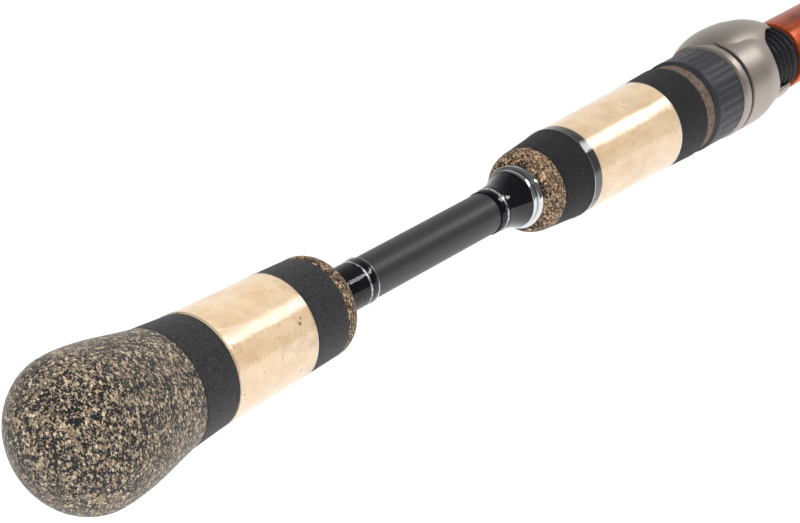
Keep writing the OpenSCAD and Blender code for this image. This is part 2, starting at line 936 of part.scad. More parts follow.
tip_frame();
tip_ring();
tip_wrap();
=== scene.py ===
import math

import bpy
from mathutils import Matrix, Vector, noise


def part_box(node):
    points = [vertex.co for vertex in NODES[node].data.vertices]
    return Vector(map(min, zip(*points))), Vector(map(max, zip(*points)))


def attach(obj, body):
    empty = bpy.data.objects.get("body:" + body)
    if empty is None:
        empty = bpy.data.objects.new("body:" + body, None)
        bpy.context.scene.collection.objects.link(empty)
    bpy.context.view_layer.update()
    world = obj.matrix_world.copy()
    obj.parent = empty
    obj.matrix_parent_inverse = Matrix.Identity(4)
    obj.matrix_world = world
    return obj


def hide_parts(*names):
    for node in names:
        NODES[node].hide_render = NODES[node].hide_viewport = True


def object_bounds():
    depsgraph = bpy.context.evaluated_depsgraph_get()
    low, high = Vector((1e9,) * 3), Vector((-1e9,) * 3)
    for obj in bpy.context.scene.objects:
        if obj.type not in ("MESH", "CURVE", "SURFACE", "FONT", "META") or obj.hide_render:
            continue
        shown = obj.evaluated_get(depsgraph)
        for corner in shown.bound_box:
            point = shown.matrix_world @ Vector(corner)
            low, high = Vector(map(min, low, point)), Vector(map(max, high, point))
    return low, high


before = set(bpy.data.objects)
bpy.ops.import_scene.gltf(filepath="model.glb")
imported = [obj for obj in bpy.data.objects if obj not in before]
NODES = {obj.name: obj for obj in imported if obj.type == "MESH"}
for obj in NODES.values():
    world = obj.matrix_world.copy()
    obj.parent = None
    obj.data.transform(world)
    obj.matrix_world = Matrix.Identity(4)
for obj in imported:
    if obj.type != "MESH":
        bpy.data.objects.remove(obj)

CAD_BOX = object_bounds()
MM = 0.001
GUIDES = range(1, 6)

# Camera: fitted to the photograph's ring ellipses, placed from the front end of the fore cork.
# It and the lights are given for the rod as it lies in the photograph, which is turned about its
# axis by ROLL from the part's frame.
LENS_MM = 112.5
SENSOR_MM = 36.0
AZIMUTH_DEG = -52.3
ELEVATION_DEG = 24.9
CAMERA_FROM_CORK = Vector((-528.3, -326.9, 247.6)) * MM
ROLL = Matrix.Rotation(math.radians(40), 4, "X")

# Stage, in metres: the floor lies below the rod and ends on the camera's side at FLOOR_EDGE
FLOOR_DROP = 140 * MM
FLOOR_SIZE = 20.0
FLOOR_EDGE = -0.16
FLOOR_GLOW = 0.96
WORLD_LEAST = 0.14
WORLD_FADE = 1.4

# Lights: places and sizes in metres, powers in watts, all aimed at HANDLE
HANDLE = (-0.18, 0.0, 0.0)
KEY_PLACE = (0.73, -0.40, 0.68)
KEY_SIZE = (0.50, 0.16)
KEY_POWER = 2.6
FILLS = (("fill_near", (-0.85, -0.75, 0.75), 11.0), ("fill_left", (-0.7, 0.5, 0.95), 9.5))
FILL_SIZE = (0.8, 0.8)

# Sizes in millimetres
THREAD_PITCH = 0.22
BAND_PITCH = 0.4
RIDGE = 0.03
FILM_BEAD = 0.12
COAT_STEEP = 0.05
COAT_FEATHER = 0.9
COAT_BEAD = 0.17
HOOD_VOXEL = 0.2

# Lock nut, in millimetres
NUT_RIM = 2.2
NUT_CHAMFER = (1.0, 1.3)
NUT_FACE_GAP = 0.3
NUT_NECK_WALL = 0.9
FLUTES = 30
FLUTE_DEPTH = 0.16

# The hood's groove, in millimetres: its place from the hood's rear end, and where the shade painted dark
# into
# its floor fades out: along the rod, up to the lip, and above GROOVE_TOP towards the middle plane
GROOVE_AT = 3.85
GROOVE_HALF = (0.5, 0.9)
GROOVE_DEPTH = (0.08, 0.35)
GROOVE_SIDE = (8.4, 9.2)
GROOVE_TOP = 2


class Graph:
    """A material's node tree, with short calls for the nodes that are used here."""

    def __init__(self, name):
        self.material = bpy.data.materials.new(name)
        self.material.use_nodes = True
        self.tree = self.material.node_tree
        self.shader = self.tree.nodes["Principled BSDF"]
        self.point = self.add("ShaderNodeTexCoord").outputs["Object"]

    def add(self, kind, **settings):
        node = self.tree.nodes.new(kind)
        for key, value in settings.items():
            setattr(node, key, value)
        return node

    def feed(self, socket, value):
        if isinstance(value, bpy.types.NodeSocket):
            self.tree.links.new(value, socket)
        elif isinstance(value, tuple) and len(value) == 3 and socket.type == "RGBA":
            socket.default_value = (*value, 1.0)
        else:
            socket.default_value = value

    def set(self, **values):
        for key, value in values.items():
            self.feed(self.shader.inputs[key.replace("_", " ")], value)

    def math(self, operation, a, b=0.0, clamp=False):
        node = self.add("ShaderNodeMath", operation=operation, use_clamp=clamp)
        self.feed(node.inputs[0], a)
        self.feed(node.inputs[1], b)
        return node.outputs[0]

    def times(self, a, b):
        return self.math("MULTIPLY", a, b)

    def stretch(self, x, y, z, point=None):
        node = self.add("ShaderNodeVectorMath", operation="MULTIPLY")
        self.feed(node.inputs[0], point or self.point)
        node.inputs[1].default_value = (x, y, z)
        return node.outputs[0]

    def noise(self, scale, detail=3.0, rough=0.55, point=None, distortion=0.0):
        node = self.add("ShaderNodeTexNoise")
        self.feed(node.inputs["Vector"], point or self.point)
        node.inputs["Scale"].default_value = scale
        node.inputs["Detail"].default_value = detail
        node.inputs["Roughness"].default_value = rough
        node.inputs["Distortion"].default_value = distortion
        return node.outputs["Fac"]

    def wobble(self, scale, amount):
        """The object's coordinates, pushed about by noise."""
        node = self.add("ShaderNodeTexNoise")
        self.feed(node.inputs["Vector"], self.point)
        node.inputs["Scale"].default_value = scale
        centred = self.add("ShaderNodeVectorMath", operation="SUBTRACT")
        self.feed(centred.inputs[0], node.outputs["Color"])
        centred.inputs[1].default_value = (0.5, 0.5, 0.5)
        small = self.add("ShaderNodeVectorMath", operation="SCALE")
        self.feed(small.inputs[0], centred.outputs[0])
        small.inputs["Scale"].default_value = amount
        total = self.add("ShaderNodeVectorMath", operation="ADD")
        self.feed(total.inputs[0], self.point)
        self.feed(total.inputs[1], small.outputs[0])
        return total.outputs[0]

    def cells(self, size_mm, point, feature="F1"):
        """Voronoi cells of about that size."""
        node = self.add("ShaderNodeTexVoronoi", feature=feature)
        self.feed(node.inputs["Vector"], point)
        node.inputs["Scale"].default_value = 1 / (size_mm * MM)
        return node

    def split(self, colour):
        node = self.add("ShaderNodeSeparateColor")
        self.feed(node.inputs[0], colour)
        return node.outputs

    def ramp(self, factor, *stops):
        """A colour ramp from (position, colour) stops."""
        node = self.add("ShaderNodeValToRGB")
        self.feed(node.inputs["Fac"], factor)
        marks = node.color_ramp.elements
        while len(marks) < len(stops):
            marks.new(0.5)
        for mark, (position, colour) in zip(marks, stops):
            mark.position = position
            mark.color = (*colour, 1.0)
        return node.outputs["Color"]

    def level(self, factor, low, high, out_low=0.0, out_high=1.0):
        """The factor's range from low to high, mapped to the range from out_low to out_high."""
        node = self.add("ShaderNodeMapRange")
        self.feed(node.inputs["Value"], factor)
        node.inputs["From Min"].default_value = low
        node.inputs["From Max"].default_value = high
        node.inputs["To Min"].default_value = out_low
        node.inputs["To Max"].default_value = out_high
        return node.outputs["Result"]

    def mix(self, factor, a, b):
        node = self.add("ShaderNodeMix", data_type="RGBA")
        self.feed(node.inputs["Factor"], factor)
        self.feed(node.inputs["A"], a)
        self.feed(node.inputs["B"], b)
        return node.outputs["Result"]

    def bump(self, height, depth_mm, strength):
        node = self.add("ShaderNodeBump")
        self.feed(node.inputs["Height"], height)
        node.inputs["Distance"].default_value = depth_mm * MM
        node.inputs["Strength"].default_value = strength
        self.feed(self.shader.inputs["Normal"], node.outputs["Normal"])


def tint(colour, factor):
    return tuple(factor * c for c in colour)


def composite(name, dark, granules, cover, size_mm, streak, bloom):
    """Granulated cork in rubber: crisp, irregular grains of several tans in a dark binder."""
    g = Graph(name)
    fine_mm = size_mm / 2.4
    place = g.stretch(1 / streak, 1, 1, g.wobble(1700, 0.55 * MM))
    big = g.cells(size_mm, place)
    edge = g.cells(size_mm, place, "DISTANCE_TO_EDGE")
    fine = g.cells(fine_mm, place)
    fine_edge = g.cells(fine_mm, place, "DISTANCE_TO_EDGE")
    pick = g.split(big.outputs["Color"])
    pick_fine = g.split(fine.outputs["Color"])
    patch = g.times(g.math("SUBTRACT", g.noise(150, 2), 0.5), 0.4)
    grain = g.level(g.math("ADD", pick[0], patch), 1 - cover - 0.02, 1 - cover + 0.02)
    grain = g.times(grain, g.level(edge.outputs["Distance"], 0.04, 0.10))
    speck = g.level(g.math("ADD", pick_fine[0], patch), 0.70, 0.74)
    speck = g.times(speck, g.level(fine_edge.outputs["Distance"], 0.03, 0.1))
    tone = g.ramp(pick[1], *((i / (len(granules) - 1), c) for i, c in enumerate(granules)))
    fleck = g.ramp(pick_fine[1], (0.0, granules[0]), (1.0, granules[-1]))
    binder = g.ramp(g.noise(2300, 4, 0.65), (0.32, tint(dark, 0.45)), (0.72, tint(dark, 1.8)))
    colour = g.mix(g.times(speck, 0.8), binder, fleck)
    colour = g.mix(grain, colour, tone)
    wear = g.level(g.noise(4200, 4, 0.65), 0.45, 0.72, 0.0, 0.3)
    colour = g.mix(wear, colour, tint(dark, 0.8))
    g.set(Base_Color=colour, Roughness=g.level(grain, 0.0, 1.0, 0.62, 0.82))
    g.set(Sheen_Weight=bloom, Sheen_Roughness=0.45)
    g.bump(g.math("ADD", g.times(grain, 0.6), g.noise(3000, 4)), 0.14, 0.7)
    return g.material


def foam(name, tone):
    """Closed-cell foam: near black, with fine pores and a grey bloom."""
    g = Graph(name)
    pores = g.cells(0.30, g.wobble(2600, 0.25 * MM))
    pore = g.level(pores.outputs["Distance"], 0.1, 0.55)
    grey = tint((0.042, 0.041, 0.043), tone)
    base = g.ramp(g.noise(2600, 5, 0.7), (0.36, (0.002, 0.002, 0.002)), (0.66, grey))
    spark = g.level(g.split(pores.outputs["Color"])[0], 0.70, 0.95, 0.0, 0.45)
    g.set(Base_Color=g.mix(spark, base, tint((0.085, 0.085, 0.09), tone)), Roughness=0.9)
    g.set(Sheen_Weight=0.12 * tone, Sheen_Roughness=0.5)
    g.bump(g.math("ADD", pore, g.noise(4200, 3)), 0.10, 0.7)
    return g.material


def cork(name):
    """Pale cork: soft mottling, fine grain, short brown dashes, smudges, hairlines and dark pits."""
    g = Graph(name)
    mottled = g.noise(170, 5, 0.6, g.stretch(0.7, 1, 1))
    base = g.ramp(mottled, (0.28, (0.75, 0.495, 0.26)), (0.5, (0.87, 0.645, 0.405)),
                  (0.72, (0.93, 0.745, 0.52)))
    grain = g.level(g.noise(2100, 5, 0.7), 0.40, 0.72, 0.0, 0.30)
    base = g.mix(grain, base, (0.56, 0.32, 0.14))
    dashes = g.cells(2.4, g.stretch(1.9, 0.7, 0.7, g.wobble(620, 1.6 * MM)))
    dash = g.level(dashes.outputs["Distance"], 0.20, 0.07)
    dash = g.times(dash, g.level(g.split(dashes.outputs["Color"])[0], 0.62, 0.70))
    base = g.mix(g.times(dash, 0.55), base, (0.42, 0.22, 0.09))
    smudge = g.times(g.level(g.noise(120, 3, 0.6), 0.57, 0.72), 0.5)
    base = g.mix(smudge, base, (0.50, 0.38, 0.27))
    lines = g.noise(210, 4, 0.7, g.stretch(1.0, 0.35, 0.35), 0.6)
    line = g.level(g.math("ABSOLUTE", g.math("SUBTRACT", lines, 0.47)), 0.012, 0.002)
    line = g.times(line, g.level(g.noise(260, 2), 0.56, 0.62))
    base = g.mix(g.times(line, 0.25), base, (0.34, 0.19, 0.09))
    pits = g.cells(4.2, g.wobble(900, 1.6 * MM))
    pit = g.level(pits.outputs["Distance"], 0.11, 0.06)
    pit = g.times(pit, g.level(g.split(pits.outputs["Color"])[1], 0.45, 0.50))
    base = g.mix(g.times(pit, 0.9), base, (0.085, 0.042, 0.02))
    g.set(Base_Color=base, Roughness=0.6)
    hollow = g.math("ADD", g.times(dash, 0.8), g.math("ADD", pit, line))
    g.bump(g.math("SUBTRACT", g.noise(1700, 4), hollow), 0.07, 0.6)
    return g.material


def clear(name, ior, haze, rough, ripple_mm, ripple):
    """A clear glossy skin: see-through from the front, mirror-like towards grazing angles."""
    g = Graph(name)
    gloss = g.add("ShaderNodeFresnel")
    gloss.inputs["IOR"].default_value = ior
    veil = g.level(g.noise(90, 4, 0.6, g.stretch(0.5, 1, 1)), 0.35, 0.75, 0.5 * haze, 1.5 * haze)
    seen = g.math("SUBTRACT", 1.0, g.add("ShaderNodeNewGeometry").outputs["Backfacing"])
    wave = g.noise(ripple, 3, 0.6, g.stretch(2.2, 0.7, 0.7))
    g.set(Base_Color=g.mix(veil, (0.97, 0.965, 0.96), (0.90, 0.89, 0.88)), Metallic=1.0)
    g.set(Roughness=g.level(wave, 0.3, 0.7, 0.7 * rough, 1.4 * rough))
    g.set(Alpha=g.times(g.math("ADD", gloss.outputs[0], veil, True), seen))
    g.bump(wave, ripple_mm, 0.5)
    return g.material


def plain(name, colour, rough, metal=0.0, spread=0.15, grain=900, coat=0.0, depth_mm=0.02, lie=(1, 1, 1)):
    """A solid finish with fine tone, gloss and surface grain; lie stretches the grain."""
    g = Graph(name)
    grain_at = g.noise(grain, 4, 0.6, g.stretch(*lie))
    g.set(Base_Color=g.ramp(grain_at, (0.3, tint(colour, 1 - spread)), (0.7, tint(colour, 1 + spread))))
    g.set(Metallic=metal, Roughness=g.level(grain_at, 0.3, 0.7, rough * 0.85, rough * 1.15))
    g.set(Coat_Weight=coat, Coat_Roughness=0.04)
    g.bump(grain_at, depth_mm, 0.4)
    return g.material


def brown_ring(name):
    """Fine-grained brown composite, almost smooth."""
    g = Graph(name)
    fine = g.noise(1100, 5, 0.7, g.stretch(1.8, 1, 1))
    base = g.ramp(fine, (0.3, (0.075, 0.053, 0.040)), (0.5, (0.170, 0.118, 0.086)),
                  (0.7, (0.28, 0.195, 0.14)))
    specks = g.cells(0.7, g.wobble(900, 0.8 * MM))
    dark = g.level(g.split(specks.outputs["Color"])[0], 0.78, 0.84, 0.0, 0.55)
    g.set(Base_Color=g.mix(dark, base, (0.030, 0.022, 0.018)), Roughness=0.72)
    g.bump(fine, 0.05, 0.5)
    return g.material


def thread(name, colour, metal, rough, sparkle, gloss):
    """Tight turns of thread; sparkle picks out single fibres."""
    g = Graph(name)
    fibres = g.cells(0.55, g.stretch(2.2, 0.8, 0.8, g.wobble(1500, 0.3 * MM)))
    pick = g.level(g.split(fibres.outputs["Color"])[0], 0.40, 0.65, 1 - sparkle, 1.0)
    fuzz = g.level(g.noise(5200, 2), 0.3, 0.7, 0.8, 1.0)
    g.set(Base_Color=g.mix(g.times(pick, fuzz), tint(colour, 0.12), colour), Metallic=metal)
    g.set(Roughness=rough, Specular_IOR_Level=gloss)
    g.bump(fuzz, 0.01, 0.4)
    return g.material


def copper(name):
    """Deep copper-orange lacquer with a darker grain along the rod, under gloss."""
    g = Graph(name)
    streaks = g.noise(330, 4, 0.6, g.stretch(0.22, 1, 1))
    base = g.ramp(streaks, (0.3, (0.20, 0.028, 0.008)), (0.52, (0.44, 0.072, 0.018)),
                  (0.75, (0.66, 0.145, 0.040)))
    flake = g.level(g.noise(6000, 1), 0.6, 0.8, 0.0, 0.25)
    g.set(Base_Color=g.mix(flake, base, (0.75, 0.26, 0.09)), Metallic=0.6)
    g.set(Roughness=g.level(streaks, 0.3, 0.7, 0.30, 0.40), Coat_Weight=0.06, Coat_Roughness=0.08)
    g.set(Specular_IOR_Level=0.2)
    g.bump(streaks, 0.006, 0.3)
    return g.material


def satin_hood(name, groove_x, lip_r):
    """Satin champagne metal, with shade painted dark down in the groove in front of the lip; places in
    millimetres.
    """
    g = Graph(name)
    grain = g.noise(2200, 4, 0.6, g.stretch(1, 3, 3))
    base = g.ramp(grain, (0.3, (0.39, 0.34, 0.30)), (0.7, (0.44, 0.385, 0.34)))
    place = g.add("ShaderNodeSeparateXYZ")
    g.feed(place.inputs[0], g.point)
    radius = g.add("ShaderNodeVectorMath", operation="LENGTH")
    g.feed(radius.inputs[0], g.stretch(0, 1, 1))
    off = g.math("ABSOLUTE", g.math("SUBTRACT", place.outputs["X"], groove_x * MM))
    along = g.level(off, GROOVE_HALF[1] * MM, GROOVE_HALF[0] * MM)
    deep = g.level(radius.outputs["Value"], (lip_r - GROOVE_DEPTH[0]) * MM, (lip_r - GROOVE_DEPTH[1]) * MM)
    aside = g.level(g.math("ABSOLUTE", place.outputs["Y"]), GROOVE_SIDE[0] * MM, GROOVE_SIDE[1] * MM)
    below = g.level(place.outputs["Z"], GROOVE_TOP * MM, 0.0)
    # Painted shade: the groove's floor is darkened to near black in the colour, where the recess would be in
    # shade
    groove_shade = g.times(g.times(along, deep), g.math("MAXIMUM", aside, below))
    g.set(Base_Color=g.mix(g.times(groove_shade, 0.9), base, (0.03, 0.027, 0.024)), Metallic=0.8)
    g.set(Roughness=g.level(grain, 0.3, 0.7, 0.36, 0.46))
    g.bump(grain, 0.004, 0.4)
    return g.material


def set_material(mat, *names):
    for name in names:
        mesh = NODES[name].data
        mesh.materials.clear()
        mesh.materials.append(mat)


def span(node):
    """Rear and front end of a CAD node along the rod, in millimetres."""
    low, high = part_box(node)
    return low.x / MM, high.x / MM


def outer(node):
    """(x, largest radius) at each station of a CAD node, in millimetres, and its smallest radius.

    A station that only the bore has, well inside its neighbours, is left out.
    """
    rings = {}
    least = 1e9
    for v in NODES[node].data.vertices:
        x = round(v.co.x / MM, 2)
        r = math.hypot(v.co.y, v.co.z) / MM
        rings[x] = max(rings.get(x, 0.0), r)
        least = min(least, r)
    rings = sorted(rings.items())
    kept = []
    for i, ring in enumerate(rings):
        at_end = i in (0, len(rings) - 1)
        if at_end or ring[1] >= min(rings[i - 1][1], rings[i + 1][1]) - 1.0:
            kept.append(ring)
    return kept, least


def soften(points, steps=4):
    """An outline with rounded corners: points are (x, r, reach of the rounding)."""
    out = []
    for i, (x, r, reach) in enumerate(points):
        if reach <= 0:
            out.append((x, r))
            continue
        here = Vector((x, r))
        back = Vector(points[i - 1][:2]) - here
        ahead = Vector(points[(i + 1) % len(points)][:2]) - here
        reach = min(reach, 0.45 * back.length, 0.45 * ahead.length)
        start = here + back.normalized() * reach
        end = here + ahead.normalized() * reach
        for k in range(steps + 1):
            t = k / steps
            at = start * (1 - t) ** 2 + here * (2 * t * (1 - t)) + end * t ** 2
            out.append((at.x, at.y))
    return out


def refine(outline, step):
    """The outline with no edge longer than step."""
    out = []
    for i, (x, r) in enumerate(outline):
        x2, r2 = outline[(i + 1) % len(outline)]
        parts = max(1, math.ceil(math.hypot(x2 - x, r2 - r) / step))
        out += [(x + (x2 - x) * k / parts, r + (r2 - r) * k / parts) for k in range(parts)]
    return out


def lathe(name, outline, mat, node, turns, relief=None, body="rod"):
    """A closed outline of (x, r) in millimetres, turned about the rod's axis, in place of a CAD node.

    The outline runs forwards along the outside and back along the bore. relief(x, angle, r) adds to
    the radius where that is larger than the bore.
    """
    bore = min(r for _, r in outline)
    verts = []
    for x, r in outline:
        for k in range(turns):
            a = 2 * math.pi * k / turns
            grown = r + (relief(x, a, r) if relief and r > bore + 0.05 else 0.0)
            verts.append((x * MM, -grown * math.sin(a) * MM, grown * math.cos(a) * MM))
    faces = []
    for i in range(len(outline)):
        j = (i + 1) % len(outline)
        for k in range(turns):
            m = (k + 1) % turns
            faces.append((i * turns + k, i * turns + m, j * turns + m, j * turns + k))
    mesh = bpy.data.meshes.new(name)
    mesh.from_pydata(verts, [], faces)
    mesh.shade_smooth()
    mesh.set_sharp_from_angle(angle=math.radians(50))
    mesh.materials.append(mat)
    obj = bpy.data.objects.new(name, mesh)
    bpy.context.scene.collection.objects.link(obj)
    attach(obj, body)
    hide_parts(node)


def skin(name, node, mat, rear, front, step=None, turns=160, relief=None):
    """A CAD node's own turned shape, with its two outer rims rounded by rear and front."""
    rings, bore = outer(node)
    bore = max(bore, 0.02)
    points = [(x, max(r, bore), 0) for x, r in rings]
    points[0] = (*points[0][:2], rear)
    points[-1] = (*points[-1][:2], front)
    points += [(rings[-1][0], bore, 0), (rings[0][0], bore, 0)]
    outline = soften(points)
    if step:
        outline = refine(outline, step)
    lathe(name, outline, mat, node, turns, relief)


def bead(name, x, r, size, mat, node):
    """A thin round rim at one end of a clear skin."""
    angles = [k * math.pi / 5 for k in range(10)]
    outline = [(x - size * math.cos(a), r + size * math.sin(a)) for a in angles]
    lathe(name, outline, mat, node, 160)


def lumps(depth, wave, seed):
    """Relief of soft lumps of about that wavelength, in millimetres; it only takes away."""
    def relief(x, a, r):
        at = Vector((x, r * math.cos(a), r * math.sin(a))) / wave + Vector((seed, 0, 0))
        return depth * (noise.noise(at) - 1)
    return relief


def creases(seed, rear_x, tuck):
    """Relief of shrunk film: broad swells, a fine ripple, and a tucked fold that starts at the rear edge."""
    swell = lumps(0.055, 6.0, seed)

    def relief(x, a, r):
        off = (a - math.radians(tuck) - 0.018 * (x - rear_x)) * r
        fold = 0.16 * math.exp(-(off / 0.30) ** 2) * max(0.0, 1 - (x - rear_x) / 7.5)
        ripple = noise.noise(Vector((x / 0.9, r * math.cos(a) / 2.2 + seed, r * math.sin(a) / 2.2)))
        return 0.115 + swell(x, a, r) + 0.016 * ripple + fold
    return relief


def flutes(rear, front):
    """Flutes between the nut's plain rim and its front face."""
    def relief(x, a, r):
        run_in = min(1.0, max(0.0, (x - rear - NUT_RIM) / 0.9))
        run_out = min(1.0, max(0.0, (front - x) / 0.5))
        wave = (0.5 + 0.5 * math.cos(a * FLUTES)) ** 2
        return -FLUTE_DEPTH * wave * run_in * run_in * (3 - 2 * run_in) * run_out
    return relief


def wound(name, node, spans, pitch, mat):
    """Turns of thread between stations, as real ridges."""
    rings, bore = outer(node)
    top = max(r for _, r in rings)
    for i, (x0, x1) in enumerate(spans):
        steps = 4 * max(2, round((x1 - x0) / pitch))
        points = []
        for k in range(steps + 1):
            dip = RIDGE * (1 - abs(math.sin(math.pi * k / 4)))
            points.append((x0 + (x1 - x0) * k / steps, top - dip))
        points += [(x1, bore), (x0, bore)]
        lathe(f"{name}_{i + 1}", points, mat, node, 96)


def build_grips():
    """Knob, composite and foam rings, and corks."""
    tans = [(0.19, 0.145, 0.095), (0.37, 0.275, 0.175), (0.55, 0.425, 0.275), (0.78, 0.62, 0.43)]
    oranges = [(0.30, 0.165, 0.085), (0.60, 0.375, 0.20), (0.92, 0.67, 0.42)]
    knob = composite("composite_knob", (0.007, 0.0085, 0.0115), tans,
                     cover=0.41, size_mm=0.78, streak=0.60, bloom=0.16)
    ring = composite("composite_ring", (0.004, 0.004, 0.004), oranges,
                     cover=0.37, size_mm=0.64, streak=0.45, bloom=0.0)
    skin("knob", "butt_knob", knob, 0, 0.25, 0.45, 224, lumps(0.05, 0.8, 1))
    skin("rear_end", "rear_trim_ring", ring, 0.2, 0, 0.4, 192, lumps(0.04, 0.8, 2))
    skin("fore_end", "fore_end_ring", ring, 0, 0.15, 0.4, 192, lumps(0.04, 0.8, 3))
    skin("nose", "nose_cone", ring, 0.3, 0.3, 0.4, 160, lumps(0.04, 0.8, 4))
    brown = brown_ring("composite_brown")
    skin("seat_ring", "seat_trim_ring", brown, 0.3, 0.35, 0.6, 160, lumps(0.02, 1.0, 5))
    grey = foam("foam_grey", 0.95)
    black = foam("foam_black", 0.5)
    foams = (("butt_foam_ring", grey), ("rear_foam_ring", grey),
             ("fore_foam_rear_ring", black), ("fore_foam_front_ring", black))
    for i, (node, mat) in enumerate(foams):
        skin(f"foam_{i + 1}", node, mat, 0.3, 0.3, 0.8, 160, lumps(0.03, 2.2, 10 + i))
    pale = cork("cork_pale")
    skin("cork_rear", "rear_cork", pale, 0.15, 0.2, 0.8, 160, lumps(0.03, 3.0, 21))
    skin("cork_fore", "fore_cork", pale, 0.15, 0.2, 0.8, 160, lumps(0.03, 3.0, 22))


def build_films():
    """Clear shrink film on each cork, with a bead along each edge."""
    shrink = clear("film_clear", ior=1.72, haze=0.03, rough=0.06, ripple_mm=0.17, ripple=800)
    edge = clear("film_edge", ior=2.2, haze=0.4, rough=0.12, ripple_mm=0.0, ripple=300)
    for place, seed, tuck in (("rear", 31, 68), ("fore", 37, 150)):
        name = f"film_{place}"
        node = f"{place}_cork_film"
        relief = creases(seed, span(node)[0], tuck)
        skin(name, node, shrink, 0.06, 0.06, 0.32, 256, relief)
        rings, _ = outer(node)
        (back_x, back_r), (front_x, front_r) = rings[0], rings[-1]
        bead(f"{name}_back_edge", back_x + FILM_BEAD, back_r, FILM_BEAD, edge, node)
        bead(f"{name}_front_edge", front_x - FILM_BEAD, front_r, FILM_BEAD, edge, node)


def build_tube():
    """Handle tube, blank and wraps."""
    graphite = plain("graphite_satin", (0.027, 0.027, 0.028), 0.44, spread=0.18, grain=1900)
    set_material(graphite, "handle_tube", "blank")
    black = thread("thread_black", (0.004, 0.004, 0.006), metal=0.0, rough=0.8, sparkle=0.3, gloss=0.02)
    silver = thread("thread_silver", (0.72, 0.75, 0.84), metal=0.6, rough=0.3, sparkle=0.97, gloss=0.4)
    set_material(black, "tip_wrap", *(f"guide_wrap_{i}" for i in GUIDES))
    for place in ("rear", "front"):
        low, high = span(f"{place}_wrap_thread")
        band_low, band_high = span(f"{place}_wrap_band")
        width = band_high - band_low
        band_low += 0.2 * width
        band_high -= 0.25 * width
        spans = [(low, min(high, band_low))]
        if band_high < high:
            spans.append((band_high, high))
        wound(f"wrap_{place}", f"{place}_wrap_thread", spans, THREAD_PITCH, black)
        wound(f"band_{place}", f"{place}_wrap_band", [(band_low, band_high)], BAND_PITCH, silver)
    coat = clear("coat_clear", ior=1.35, haze=0.002, rough=0.13, ripple_mm=0.0, ripple=12)
    edge = clear("coat_edge", ior=2.2, haze=0.4, rough=0.12, ripple_mm=0.0, ripple=300)
    for place, start, end in (("rear", COAT_STEEP, COAT_FEATHER), ("front", COAT_FEATHER, COAT_STEEP)):
        node = f"{place}_wrap_coat"
        x0, x1 = span(node)
        rings, bore = outer(node)
        top = max(r for _, r in rings)
        points = [(x0, bore + 0.01, 0), (x0 + start, top, 0.5), (x1 - end, top, 0.5), (x1, bore + 0.01, 0),
                  (x1, bore + 0.002, 0), (x0, bore + 0.002, 0)]
        lathe(f"coat_{place}", refine(soften(points, 6), 0.6), coat, node, 128)
        if place == "rear":
            bead("coat_rear_edge", x1 - 0.25, bore + 0.18, COAT_BEAD, edge, node)


def build_check():
    """Black flare and bright ring of the winding check."""
    gloss = plain("black_gloss", (0.004, 0.004, 0.006), 0.07, spread=0.2, grain=500, depth_mm=0.004)
    skin("flare", "winding_check_flare", gloss, 0.1, 0.15)
    bright = plain("metal_bright", (0.68, 0.70, 0.70), 0.10, metal=1.0, spread=0.05, grain=1500,
                   depth_mm=0.003, lie=(4, 1, 1))
    x0, x1 = span("winding_check_ring")
    rings, bore = outer("winding_check_ring")
    lip = max(r for _, r in rings)
    collar = rings[0][1]
    neck = collar - 0.55
    length = x1 - x0
    points = [(x0, collar, 0.25), (x0 + 0.32 * length, collar, 0.2), (x0 + 0.36 * length, neck, 0.08),
              (x0 + 0.44 * length, neck, 0.08), (x0 + 0.48 * length, lip - 0.15, 0.3),
              (x1 - 0.1, lip, 0.4), (x1, lip - 0.3, 0.1), (x1, bore, 0), (x0, bore, 0)]
    lathe("check_ring", soften(points, 5), bright, "winding_check_ring", 160)
    set_material(bright, "nose_check")


def build_seat():
    """Barrel, insert, arbors, nut, snap ring and hoods, and the steel of the guides."""
    moulded = plain("plastic_black", (0.010, 0.010, 0.012), 0.55, spread=0.2, grain=1200, depth_mm=0.01)
    set_material(moulded, "seat_barrel", "hood_bush")
    skin("insert", "seat_insert", copper("insert_copper"), 0.25, 0.25, 4.0)
    set_material(plain("arbor_grey", (0.45, 0.43, 0.38), 0.7, spread=0.1), "seat_arbors")
    anodised = plain("nut_charcoal", (0.034, 0.0345, 0.039), 0.50, metal=0.2, spread=0.12, grain=1300,
                     depth_mm=0.008)
    rear, neck_end = span("lock_nut")
    hood_x, _ = span("sliding_hood")
    rings, _ = outer("lock_nut")
    top = max(r for _, r in rings)
    neck = max(r for x, r in rings if x > hood_x + 0.5)
    bore = neck - NUT_NECK_WALL
    face = hood_x - NUT_FACE_GAP
    points = [(rear, top - NUT_CHAMFER[1], 0.15), (rear + NUT_CHAMFER[0], top, 0.2), (face, top, 0.35),
              (face, neck, 0), (neck_end, neck, 0.2), (neck_end, bore, 0), (rear, bore, 0)]
    lathe("nut", refine(soften(points, 5), 0.5), anodised, "lock_nut", 360,
          flutes(rear, face), "nut")
    steel = plain("steel_bright", (0.62, 0.63, 0.65), 0.22, metal=1.0, spread=0.08, grain=1500,
                  depth_mm=0.004)
    set_material(steel, "nut_snap_ring", "tip_frame", *(f"guide_frame_{i}" for i in GUIDES))
    lip_r = max(r for x, r in outer("sliding_hood")[0] if x < hood_x + 2.5)
    # The hoods' material paints shade into the groove in front of the lip
    champagne = satin_hood("hood_champagne_groove_shade", hood_x + GROOVE_AT, lip_r)
    set_material(champagne, "sliding_hood", "front_hood")
    for node in ("sliding_hood", "front_hood"):
        cast = NODES[node].modifiers.new("cast", "REMESH")
        cast.mode = "VOXEL"
        cast.voxel_size = HOOD_VOXEL * MM
        cast.use_smooth_shade = True
        polish = NODES[node].modifiers.new("polish", "SMOOTH")
        polish.factor = 0.5
        polish.iterations = 6


def build_rings():
    """Ceramic rings of the guides."""
    ceramic = plain("ceramic_dark", (0.030, 0.031, 0.035), 0.12, spread=0.1, coat=0.5, depth_mm=0.003)
    set_material(ceramic, "tip_ring", *(f"guide_ring_{i}" for i in GUIDES))


